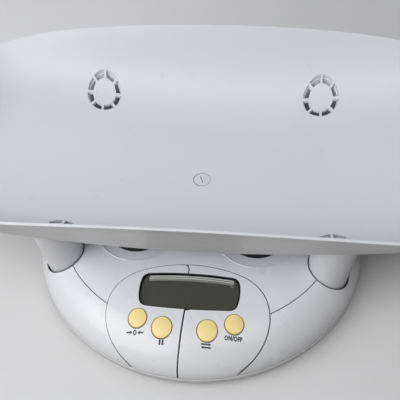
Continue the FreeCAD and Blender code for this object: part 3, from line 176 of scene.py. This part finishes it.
LENS_COLOR = (0.97, 0.98, 0.97, 1.0)
LENS_SMEAR_SCALE = 40.0
LENS_GLOSS = (0.03, 0.07)
LENS_IOR = 1.45


def bump(tree, shader, height, strength, distance, edge_round=0.0):
    """Fine relief, on top of softened edges where edge_round is given."""
    node = add_node(tree, "ShaderNodeBump", Strength=strength, Distance=distance)
    tree.links.new(height, node.inputs["Height"])
    if edge_round:
        soft_edge = add_node(tree, "ShaderNodeBevel", samples=EDGE_SAMPLES, Radius=edge_round)
        tree.links.new(soft_edge.outputs["Normal"], node.inputs["Normal"])
    tree.links.new(node.outputs["Normal"], shader.inputs["Normal"])


def paint_crevice_shade(tree, surface, dark):
    """Painted shade where walls stand close together, down to the share dark of the colour."""
    # painted shade: the less open sky a point sees, the darker its colour
    nearness = add_node(tree, "ShaderNodeAmbientOcclusion", samples=CREVICE_SAMPLES,
                        Distance=CREVICE_REACH)
    open_share = ramp(tree, nearness.outputs["AO"], *CREVICE_OPEN)
    shaded = add_node(tree, "ShaderNodeMix", data_type="RGBA", blend_type="MULTIPLY")
    shaded.inputs["Factor"].default_value = 1.0
    tree.links.new(surface, shaded.inputs["A"])
    tree.links.new(mix_colors(tree, open_share, [dark] * 3, [1.0] * 3), shaded.inputs["B"])
    return shaded.outputs["Result"]


def plastic(name, color, rough, coat=0.0, scuffs=0.0, edge_round=0.0, crevice_shade=0.0, rim_shade=None):
    """Moulded plastic: colour drift, uneven gloss, a fine grain and, where used, faint scuffs.

    rim_shade is the middle's x and y, the radius and the edge's tone of a round cap whose colour
    darkens towards its edge as painted shade. crevice_shade is the share of the colour that the
    painted shade leaves in the deepest crevices.
    """
    material, tree, shader = new_material(name)
    darker = [c * (1 - DRIFT) for c in color]
    surface = mix_colors(tree, noise(tree, DRIFT_SCALE), darker, color)
    if scuffs:
        worn = [c * (1 - scuffs) for c in color]
        texture = noise(tree, SCUFF_SCALE, SCUFF_DETAIL, SCUFF_NOISE_ROUGHNESS)
        surface = mix_colors(tree, ramp(tree, texture, *SCUFF_RANGE), surface, worn)
    # painted shade: a round cap's colour darkens towards its edge
    if rim_shade:
        x, y, radius, tone = rim_shade
        edge = ramp(tree, distance_from(tree, x, y), radius - RIM_SHADE_WIDTH, radius)
        surface = mix_colors(tree, edge, surface, tone)
    # painted shade in crevices and between parts
    if crevice_shade:
        surface = paint_crevice_shade(tree, surface, crevice_shade)
    set_color(tree, shader, surface)
    set_gloss(tree, shader, noise(tree, GLOSS_SCALE),
              rough * (1 - GLOSS_SPREAD), rough * (1 + GLOSS_SPREAD))
    bump(tree, shader, noise(tree, PLASTIC_GRAIN_SCALE, PLASTIC_GRAIN_DETAIL),
         PLASTIC_GRAIN_STRENGTH, PLASTIC_GRAIN_HEIGHT, edge_round)
    shader.inputs["IOR"].default_value = PLASTIC_IOR
    shader.inputs["Coat Weight"].default_value = coat
    shader.inputs["Coat Roughness"].default_value = COAT_ROUGHNESS
    return material


def rubber(name, color):
    material, tree, shader = new_material(name)
    speckle = noise(tree, RUBBER_SPECKLE_SCALE, RUBBER_SPECKLE_DETAIL)
    lighter = [c * RUBBER_SPECKLE_GAIN + RUBBER_SPECKLE_LIFT for c in color]
    set_color(tree, shader, mix_colors(tree, speckle, color, lighter))
    set_gloss(tree, shader, noise(tree, RUBBER_GLOSS_SCALE), *RUBBER_GLOSS)
    bump(tree, shader, speckle, RUBBER_GRAIN_STRENGTH, RUBBER_GRAIN_HEIGHT)
    return material


def metal(name, color, rough):
    material, tree, shader = new_material(name)
    streak = noise(tree, METAL_STREAK_SCALE, METAL_STREAK_DETAIL)
    set_color(tree, shader, mix_colors(tree, streak, [c * METAL_DULL for c in color], color))
    set_gloss(tree, shader, streak, *(rough * share for share in METAL_GLOSS))
    shader.inputs["Metallic"].default_value = 1.0
    return material


def clear_lens():
    material, tree, shader = new_material("lens_clear")
    set_gloss(tree, shader, noise(tree, LENS_SMEAR_SCALE), *LENS_GLOSS)
    shader.inputs["Base Color"].default_value = LENS_COLOR
    shader.inputs["Transmission Weight"].default_value = 1.0
    shader.inputs["IOR"].default_value = LENS_IOR
    return material


# ---------------------------------------------------------------- buttons and contact strip
CAP_R = {"zero": 0.00745, "hold": 0.00805, "units": 0.00805, "power": 0.00745}
CAP_YELLOW = (0.99, 0.78, 0.33)
# tone of the painted shade at the caps' edges
CAP_EDGE_PAINTED_SHADE = (0.50, 0.33, 0.12)

STRIP_ARC_R = 0.32147     # outer radius of the strip's arc, whose middle lies on x = 0
STRIP_WIDTH = 0.0046
STRIP_GLOSS_SCALE = 90.0
STRIP_GLOSS = (0.18, 0.28)
STRIP_BLUE_SHARE = 0.97   # blue's share of a line's tone
STRIP_HIGHLIGHT_LINES = [           # share of the strip's width from its upper edge, and tone; the 0.98 lines are painted highlights, the 0.12 line painted shade
    (0.001, 0.98), (0.20, 0.98), (0.23, 0.12), (0.32, 0.12), (0.35, 0.98),
    (0.56, 0.98), (0.59, 0.50), (0.999, 0.45),
]


def plan_middle(low, high):
    """The middle of a box, seen from above."""
    return (low[0] + high[0]) / 2, (low[1] + high[1]) / 2


def button_plastic(key):
    low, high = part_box("plunger_" + key)
    # painted shade at the cap's edge and in the gap around it
    return plastic("button_yellow_" + key, CAP_YELLOW, 0.32, crevice_shade=0.3,
                   rim_shade=(*plan_middle(low, high), CAP_R[key], CAP_EDGE_PAINTED_SHADE))


def strip_with_painted_highlights():
    """Lines of painted highlight with a line of painted shade between them, along the strip's arc.
    """
    material, tree, shader = new_material("strip_painted_highlights")
    _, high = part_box("lcd_contact_strip")
    radius = distance_from(tree, 0.0, high[1] - STRIP_ARC_R)
    # painted highlights and painted shade as bands of colour
    lines = add_node(tree, "ShaderNodeValToRGB")
    band = lines.color_ramp.elements
    for place, tone in STRIP_HIGHLIGHT_LINES:
        band.new(place).color = (tone, tone, tone * STRIP_BLUE_SHARE, 1.0)
    band.remove(band[0])
    band.remove(band[len(band) - 1])
    tree.links.new(ramp(tree, radius, STRIP_ARC_R, STRIP_ARC_R - STRIP_WIDTH), lines.inputs["Fac"])
    set_color(tree, shader, lines.outputs["Color"])
    set_gloss(tree, shader, noise(tree, STRIP_GLOSS_SCALE), *STRIP_GLOSS)
    return material


# ---------------------------------------------------------------- materials of the CAD's nodes
# crevice_shade paints shade into slots, seams and gaps
TRAY_WHITE = plastic("tray_white", (0.735, 0.745, 0.765), 0.36, scuffs=0.12,
                     edge_round=EDGE_ROUND, crevice_shade=0.45)
BASE_WHITE = plastic("base_white", (0.775, 0.785, 0.805), 0.3, coat=0.25, scuffs=0.1,
                     edge_round=EDGE_ROUND, crevice_shade=0.12)
# painted shade: the lower housing's white, also used on the battery door and feet, is set darker
# than the cover's for the shade under the cover's edge
HOUSING_WHITE_SHADED = plastic("housing_white", (0.60, 0.595, 0.60), 0.35, edge_round=EDGE_ROUND,
                        crevice_shade=0.12)
BLACK_GLOSS = plastic("black_gloss", (0.012, 0.012, 0.012), 0.15)
BLACK_MATT = plastic("black_matt", (0.02, 0.02, 0.02), 0.6)
GREY_MATT = plastic("grey_matt", (0.3, 0.3, 0.3), 0.6)
LCD_GREY = plastic("lcd_grey", (0.092, 0.088, 0.073), 0.35)
BOARD_GREEN = plastic("board_green", (0.02, 0.15, 0.06), 0.4)
LEAD_GREY = plastic("lead_grey", (0.4, 0.4, 0.42), 0.5)
BATTERY_GREY = metal("battery_grey", (0.3, 0.3, 0.32), 0.35)
STEEL = metal("steel", (0.55, 0.55, 0.56), 0.35)
PAD_BLACK = rubber("pad_black", (0.012, 0.012, 0.012))
FOOT_RUBBER = rubber("foot_rubber", (0.45, 0.45, 0.46))

BY_PREFIX = [             # start of a node's name, and its material; the first that fits counts
    ("tray_", TRAY_WHITE),
    ("base_cover", BASE_WHITE),
    ("platform_plate", BASE_WHITE),
    ("console_panel", BASE_WHITE),
    ("grip_pad", PAD_BLACK),
    ("display_bezel", BLACK_GLOSS),
    ("display_window", clear_lens()),
    ("lcd_panel", LCD_GREY),
    ("lcd_contact_strip", strip_with_painted_highlights()),
    ("zebra_strips", GREY_MATT),
    ("button_zero", button_plastic("zero")),
    ("button_hold", button_plastic("hold")),
    ("button_units", button_plastic("units")),
    ("button_power", button_plastic("power")),
    ("plunger_", GREY_MATT),
    ("key_switches", BLACK_MATT),
    ("circuit_board", BOARD_GREEN),
    ("board_components", BLACK_MATT),
    ("board_screws", STEEL),
    ("lower_housing", HOUSING_WHITE_SHADED),
    ("battery_door", HOUSING_WHITE_SHADED),
    ("battery_snap", BLACK_MATT),
    ("battery", BATTERY_GREY),
    ("load_cell", STEEL),
    ("foot_pad", FOOT_RUBBER),
    ("foot_", HOUSING_WHITE_SHADED),
    ("lead_", LEAD_GREY),
    ("housing_screws", STEEL),
]


def dress(name, node):
    material = next(m for prefix, m in BY_PREFIX if name.startswith(prefix))
    if not node.data.materials:
        node.data.materials.append(material)
    for slot in node.material_slots:
        slot.material = material


for node_name, node_object in NODES.items():
    dress(node_name, node_object)


# ---------------------------------------------------------------- drawing marks, in millimetres
SAME_POINT = 0.001        # points nearer than this are joined
MARK_STEP = 0.7           # longest edge of a mark, so that it follows a curved surface
REFINE_ROUNDS = 4

LETTER_OFFSET = 0.055
LETTER_SPACE = 1.12
LETTER_STEPS = 6


def ring_points(half_x, half_y, steps):
    turns = [2 * math.pi * k / steps for k in range(steps)]
    return [(half_x * math.cos(t), half_y * math.sin(t)) for t in turns]


def flat_face(bm, points):
    bm.faces.new([bm.verts.new((x, y, 0)) for x, y in points])


def bar(bm, x0, x1, y0, y1):
    flat_face(bm, [(x0, y0), (x1, y0), (x1, y1), (x0, y1)])


def arrow(bm, tail_x, tip_x, y, stem, half_head, head):
    """A level arrow: its stem's width, half its head's width, and its head's length."""
    way = 1 if tip_x > tail_x else -1
    neck = tip_x - way * head
    half = stem / 2
    points = [(tail_x, y - half), (neck, y - half), (neck, y - half_head), (tip_x, y),
              (neck, y + half_head), (neck, y + half), (tail_x, y + half)]
    flat_face(bm, points if way > 0 else list(reversed(points)))


def oval_band(bm, half_x, half_y, stroke, steps=32):
    """An upright oval drawn as a closed band."""
    outer, inner = ([bm.verts.new((x, y, 0)) for x, y in ring_points(half_x - w, half_y - w, steps)]
                    for w in (0, stroke))
    for k in range(steps):
        n = (k + 1) % steps
        bm.faces.new((outer[k], outer[n], inner[n], inner[k]))


def fitted(values, size):
    """Moves and scales numbers to a size about zero."""
    low, high = min(values), max(values)
    return [(value - (low + high) / 2) * size / (high - low) for value in values]


def word(bm, text, width, height):
    """Blender's built-in lettering, fitted to a width and a cap height."""
    curve = bpy.data.curves.new("word", "FONT")
    curve.body = text
    curve.offset = LETTER_OFFSET
    curve.space_character = LETTER_SPACE
    curve.resolution_u = LETTER_STEPS
    writer = bpy.data.objects.new("word", curve)
    SCENE.collection.objects.link(writer)
    bpy.context.view_layer.update()
    written = writer.evaluated_get(bpy.context.evaluated_depsgraph_get())
    letters = bpy.data.meshes.new_from_object(written)
    bpy.data.objects.remove(writer)
    bm.from_mesh(letters)
    bpy.data.meshes.remove(letters)
    xs = fitted([vertex.co.x for vertex in bm.verts], width)
    ys = fitted([vertex.co.y for vertex in bm.verts], height)
    for vertex, x, y in zip(bm.verts, xs, ys):
        vertex.co = (x, y, vertex.co.z)


def refine(bm):
    """Splits long edges until the drawing can follow what it lies on."""
    for _ in range(REFINE_ROUNDS):
        long_edges = [edge for edge in bm.edges if edge.calc_length() > MARK_STEP]
        if not long_edges:
            break
        bmesh.ops.subdivide_edges(bm, edges=long_edges, cuts=1, use_grid_fill=True)
        bmesh.ops.triangulate(bm, faces=[face for face in bm.faces if len(face.verts) > 4])


# ---------------------------------------------------------------- laying marks on the solids
INK_THICK = 0.00009       # a mark's top above the surface
INK_SUNK = 0.00003        # and its foot below it
ABOVE_ALL = 1.0           # height from which rays look down for a surface
INK = plastic("ink_black", (0.02, 0.02, 0.025), 0.5)


def surface_of(*names):
    """Search tree of some nodes' faces."""
    points = []
    faces = []
    for name in names:
        mesh = NODES[name].data
        first = len(points)
        points += [vertex.co.copy() for vertex in mesh.vertices]
        faces += [[first + k for k in polygon.vertices] for polygon in mesh.polygons]
    return BVHTree.FromPolygons(points, faces)


def surface_height(surface, x, y):
    hit, _, _, _ = surface.ray_cast(Vector((x, y, ABOVE_ALL)), Vector((0, 0, -1)))
    return hit.z


def lay_mark(name, surface, node, shift, draw, finish):
    """Draws a mark in plan and lays it on a surface, at a shift from a node's middle."""
    low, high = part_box(node)
    middle_x, middle_y = (a + b for a, b in zip(plan_middle(low, high), shift))
    bm = bmesh.new()
    draw(bm)
    bmesh.ops.remove_doubles(bm, verts=bm.verts, dist=SAME_POINT)
    refine(bm)
    for vertex in bm.verts:
        x = middle_x + vertex.co.x * MM
        y = middle_y + vertex.co.y * MM
        vertex.co = (x, y, surface_height(surface, x, y) + INK_THICK)
    top = list(bm.faces)
    for face in top:
        if face.normal.z < 0:
            face.normal_flip()
    lower = bmesh.ops.extrude_face_region(bm, geom=top)
    for item in lower["geom"]:
        if isinstance(item, bmesh.types.BMVert):
            item.co.z -= INK_THICK + INK_SUNK
    bmesh.ops.recalc_face_normals(bm, faces=bm.faces)
    piece = new_piece(name, bm)
    piece.data.materials.append(finish)
    return piece


def new_piece(name, bm):
    """Turns a finished bmesh into an object of the scene."""
    mesh = bpy.data.meshes.new(name)
    bm.to_mesh(mesh)
    bm.free()
    piece = bpy.data.objects.new(name, mesh)
    SCENE.collection.objects.link(piece)
    return piece


# ---------------------------------------------------------------- printed marks under the buttons
ZERO_OVAL = (1.45, 1.85, 0.85)            # half width, half height and stroke
ZERO_ARROW = (0, 1.0, 1.4, 1.9)           # height in the mark, stem, half head and head
ZERO_ARROW_TAIL = 6.9
ZERO_ARROW_TIP = 2.1
HOLD_BAR = (0.45, 1.9)                    # from the mark's middle to the bar's two sides
HOLD_HALF_HEIGHT = 1.65
UNITS_ARROW = (0.95, 1.0, 1.8)            # stem, half head and head
UNITS_HALF_LENGTH = 3.9
UNITS_RISE = 1.0
POWER_WORD = ("ON/OFF", 13.6, 3.3)        # text, width and cap height


def draw_zero(bm):
    oval_band(bm, *ZERO_OVAL)
    for side in (-1, 1):
        arrow(bm, side * ZERO_ARROW_TAIL, side * ZERO_ARROW_TIP, *ZERO_ARROW)


def draw_hold(bm):
    near, far = HOLD_BAR
    for x0, x1 in ((-far, -near), (near, far)):
        bar(bm, x0, x1, -HOLD_HALF_HEIGHT, HOLD_HALF_HEIGHT)


def draw_units(bm):
    for way in (1, -1):
        arrow(bm, -way * UNITS_HALF_LENGTH, way * UNITS_HALF_LENGTH, way * UNITS_RISE,
              *UNITS_ARROW)


def draw_power(bm):
    word(bm, *POWER_WORD)


PANELS = surface_of("console_panel_left", "console_panel_right")
PRINTED_MARKS = [         # piece, plunger whose axis it is placed from, shift, and drawing
    ("mark_zero", "plunger_zero", (-0.0009, -0.0104), draw_zero),
    ("mark_hold", "plunger_hold", (0.0005, -0.0103), draw_hold),
    ("mark_units", "plunger_units", (-0.0001, -0.0104), draw_units),
    ("mark_power", "plunger_power", (-0.0001, -0.0100), draw_power),
]


def printed_mark(name, plunger, shift, draw):
    piece = lay_mark(name, PANELS, plunger, shift, draw, INK)
    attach(piece, "base")


for mark_values in PRINTED_MARKS:
    printed_mark(*mark_values)


# ---------------------------------------------------------------- painted shade in the moulding mark of the tray's floor
DIAL_SHIFT = (0.0, -0.011)                # from the tray's middle to the dial's
DIAL_R = 8.3                              # in millimetres, from here to the pointer's width
DIAL_STROKE = 0.5
DIAL_STEPS = 64
POINTER = ((-1.9, 4.2), (1.2, -4.4))      # the pointer line's two ends, from the dial's middle
POINTER_WIDTH = 0.85
DIAL_SHADE_FROM_X = -0.0075                     # painted shade darkest here
DIAL_SHADE_TO_X = 0.006                         # painted shade faintest from here on
# tones of the painted shade on the dial
DIAL_SHADE_DARK = (0.05, 0.05, 0.055)
DIAL_SHADE_FAINT = (0.45, 0.45, 0.47)
DIAL_SHADE_GLOSS_SCALE = 300.0
DIAL_SHADE_GLOSS = (0.5, 0.7)


def draw_dial(bm):
    """Painted shade in the dial's round groove, and along its pointer line."""
    oval_band(bm, DIAL_R, DIAL_R, DIAL_STROKE, DIAL_STEPS)
    (x0, y0), (x1, y1) = POINTER
    along = Vector((x1 - x0, y1 - y0)).normalized()
    side = Vector((-along.y, along.x)) * POINTER_WIDTH / 2
    flat_face(bm, [(x0 - side.x, y0 - side.y), (x1 - side.x, y1 - side.y),
                   (x1 + side.x, y1 + side.y), (x0 + side.x, y0 + side.y)])


def dial_painted_shade():
    """Painted shade that fades from the left of the dial to the right."""
    material, tree, shader = new_material("dial_painted_shade")
    place = add_node(tree, "ShaderNodeSeparateXYZ")
    tree.links.new(object_coords(tree), place.inputs[0])
    thin = ramp(tree, place.outputs["X"], DIAL_SHADE_FROM_X, DIAL_SHADE_TO_X)
    set_color(tree, shader, mix_colors(tree, thin, DIAL_SHADE_DARK, DIAL_SHADE_FAINT))
    set_gloss(tree, shader, noise(tree, DIAL_SHADE_GLOSS_SCALE), *DIAL_SHADE_GLOSS)
    return material


# a dark sheet of painted shade laid in the dial's groove and along its pointer
dial = lay_mark("tray_dial_painted_shade", surface_of("tray_shell"), "tray_shell", DIAL_SHIFT, draw_dial,
                dial_painted_shade())
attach(dial, "tray")


# ---------------------------------------------------------------- floor
PAPER_SCALE = 3.0
PAPER = ((0.78, 0.78, 0.79), (0.81, 0.81, 0.82))
PAPER_FOR_LIGHT = (0.13, 0.11, 0.10)      # what the light that bounces off the floor meets
PAPER_ROUGHNESS = 0.85
BACKDROP = (0.62, 0.62, 0.63, 1.0)
BACKDROP_NEAR = 0.5       # from here outwards the floor turns into the even backdrop
BACKDROP_FAR = 1.3
SWEEP = [                 # the floor's rings: radius and height
    (2.4, 0.0), (2.9, 0.02), (3.3, 0.1), (3.65, 0.35), (3.85, 0.8), (3.9, 1.7),
]
SWEEP_STEPS = 96


def shown_share(tree):
    """1 for the rays that show the floor: straight, mirrored or through glass."""
    path = add_node(tree, "ShaderNodeLightPath").outputs
    shown = math_node(tree, "MAXIMUM", path["Is Camera Ray"], path["Is Glossy Ray"])
    return math_node(tree, "MAXIMUM", shown, path["Is Transmission Ray"])


def floor_material():
    """Pale paper that keeps the shadow near the object and fades into an even backdrop.

    Rays that carry light rather than show the floor meet a darker floor without the backdrop's
    glow, so that it sends little light back up at the object.
    """
    material, tree, shader = new_material("floor_paper")
    shown = shown_share(tree)
    paper = mix_colors(tree, noise(tree, PAPER_SCALE), *PAPER)
    set_color(tree, shader, mix_colors(tree, shown, PAPER_FOR_LIGHT, paper))
    shader.inputs["Roughness"].default_value = PAPER_ROUGHNESS

    far = ramp(tree, length_of(tree, object_coords(tree)), BACKDROP_NEAR, BACKDROP_FAR)
    even = add_node(tree, "ShaderNodeEmission", Color=BACKDROP)
    blend = add_node(tree, "ShaderNodeMixShader")
    tree.links.new(math_node(tree, "MULTIPLY", far, shown), blend.inputs["Fac"])
    tree.links.new(shader.outputs["BSDF"], blend.inputs[1])
    tree.links.new(even.outputs["Emission"], blend.inputs[2])
    tree.links.new(blend.outputs["Shader"], tree.nodes["Material Output"].inputs["Surface"])
    return material


def make_floor():
    """A round floor whose far edge sweeps up into the backdrop."""
    bm = bmesh.new()
    middle = bm.verts.new((0, 0, 0))
    rings = [[bm.verts.new((x, y, height)) for x, y in ring_points(reach, reach, SWEEP_STEPS)]
             for reach, height in SWEEP]
    for k in range(SWEEP_STEPS):
        n = (k + 1) % SWEEP_STEPS
        bm.faces.new((middle, rings[0][k], rings[0][n]))
        for inner, outer in zip(rings, rings[1:]):
            bm.faces.new((inner[k], outer[k], outer[n], inner[n]))
    for face in bm.faces:
        face.smooth = True
    floor = new_piece("floor", bm)
    floor.data.materials.append(floor_material())


# ---------------------------------------------------------------- lamps and world
LAMP_TARGET = Vector((0, 0, 0.05))
LAMPS = [                 # name, place, diameter and watts
    ("key", (-0.8, -0.85, 1.0), 1.5, 16.8),
    ("front_top", (0.4, -0.6, 1.3), 1.0, 4.2),
    ("left", (-1.2, -0.2, 0.8), 1.0, 2.0),
    ("rear", (-0.6, 0.9, 0.9), 1.0, 3.8),
]
SKY_COLOR = (0.95, 0.97, 1.0, 1.0)
SKY_STRENGTH = 0.12


def make_lamp(name, place, size, watts):
    light = bpy.data.lights.new(name, "AREA")
    light.shape = "DISK"
    light.size = size
    light.energy = watts
    lamp = bpy.data.objects.new(name, light)
    SCENE.collection.objects.link(lamp)
    lamp.location = place
    lamp.rotation_euler = (LAMP_TARGET - Vector(place)).to_track_quat("-Z", "Y").to_euler()


def make_world():
    world = bpy.data.worlds.new("studio")
    SCENE.world = world
    world.use_nodes = True
    background = world.node_tree.nodes["Background"]
    background.inputs["Color"].default_value = SKY_COLOR
    background.inputs["Strength"].default_value = SKY_STRENGTH


# ---------------------------------------------------------------- camera
YAW = math.radians(-8.0356)
PITCH = math.radians(48.9493)             # downwards
ROLL = math.radians(-3.4547)
FOCAL_PX = 507.295
PHOTO_PX = 400.0
SENSOR_MM = 36.0
CAMERA_PLACE = Vector((0.042914, -0.312871, 0.408282))
CLIP_START = 0.01


def make_camera():
    forward = Vector((math.sin(YAW) * math.cos(PITCH), math.cos(YAW) * math.cos(PITCH),
                      -math.sin(PITCH)))
    right = Vector((math.cos(YAW), -math.sin(YAW), 0))
    up = right.cross(forward)
    x_axis = math.cos(ROLL) * right + math.sin(ROLL) * up
    y_axis = -math.sin(ROLL) * right + math.cos(ROLL) * up
    data = bpy.data.cameras.new("camera")
    data.sensor_width = SENSOR_MM
    data.sensor_fit = "HORIZONTAL"
    data.lens = FOCAL_PX * SENSOR_MM / PHOTO_PX
    data.clip_start = CLIP_START
    camera = bpy.data.objects.new("camera", data)
    SCENE.collection.objects.link(camera)
    axes = Matrix((x_axis, y_axis, -forward)).transposed().to_4x4()
    camera.matrix_world = Matrix.Translation(CAMERA_PLACE) @ axes
    SCENE.camera = camera


make_floor()
make_world()
for lamp_values in LAMPS:
    make_lamp(*lamp_values)
make_camera()
SCENE.view_settings.view_transform = "Standard"
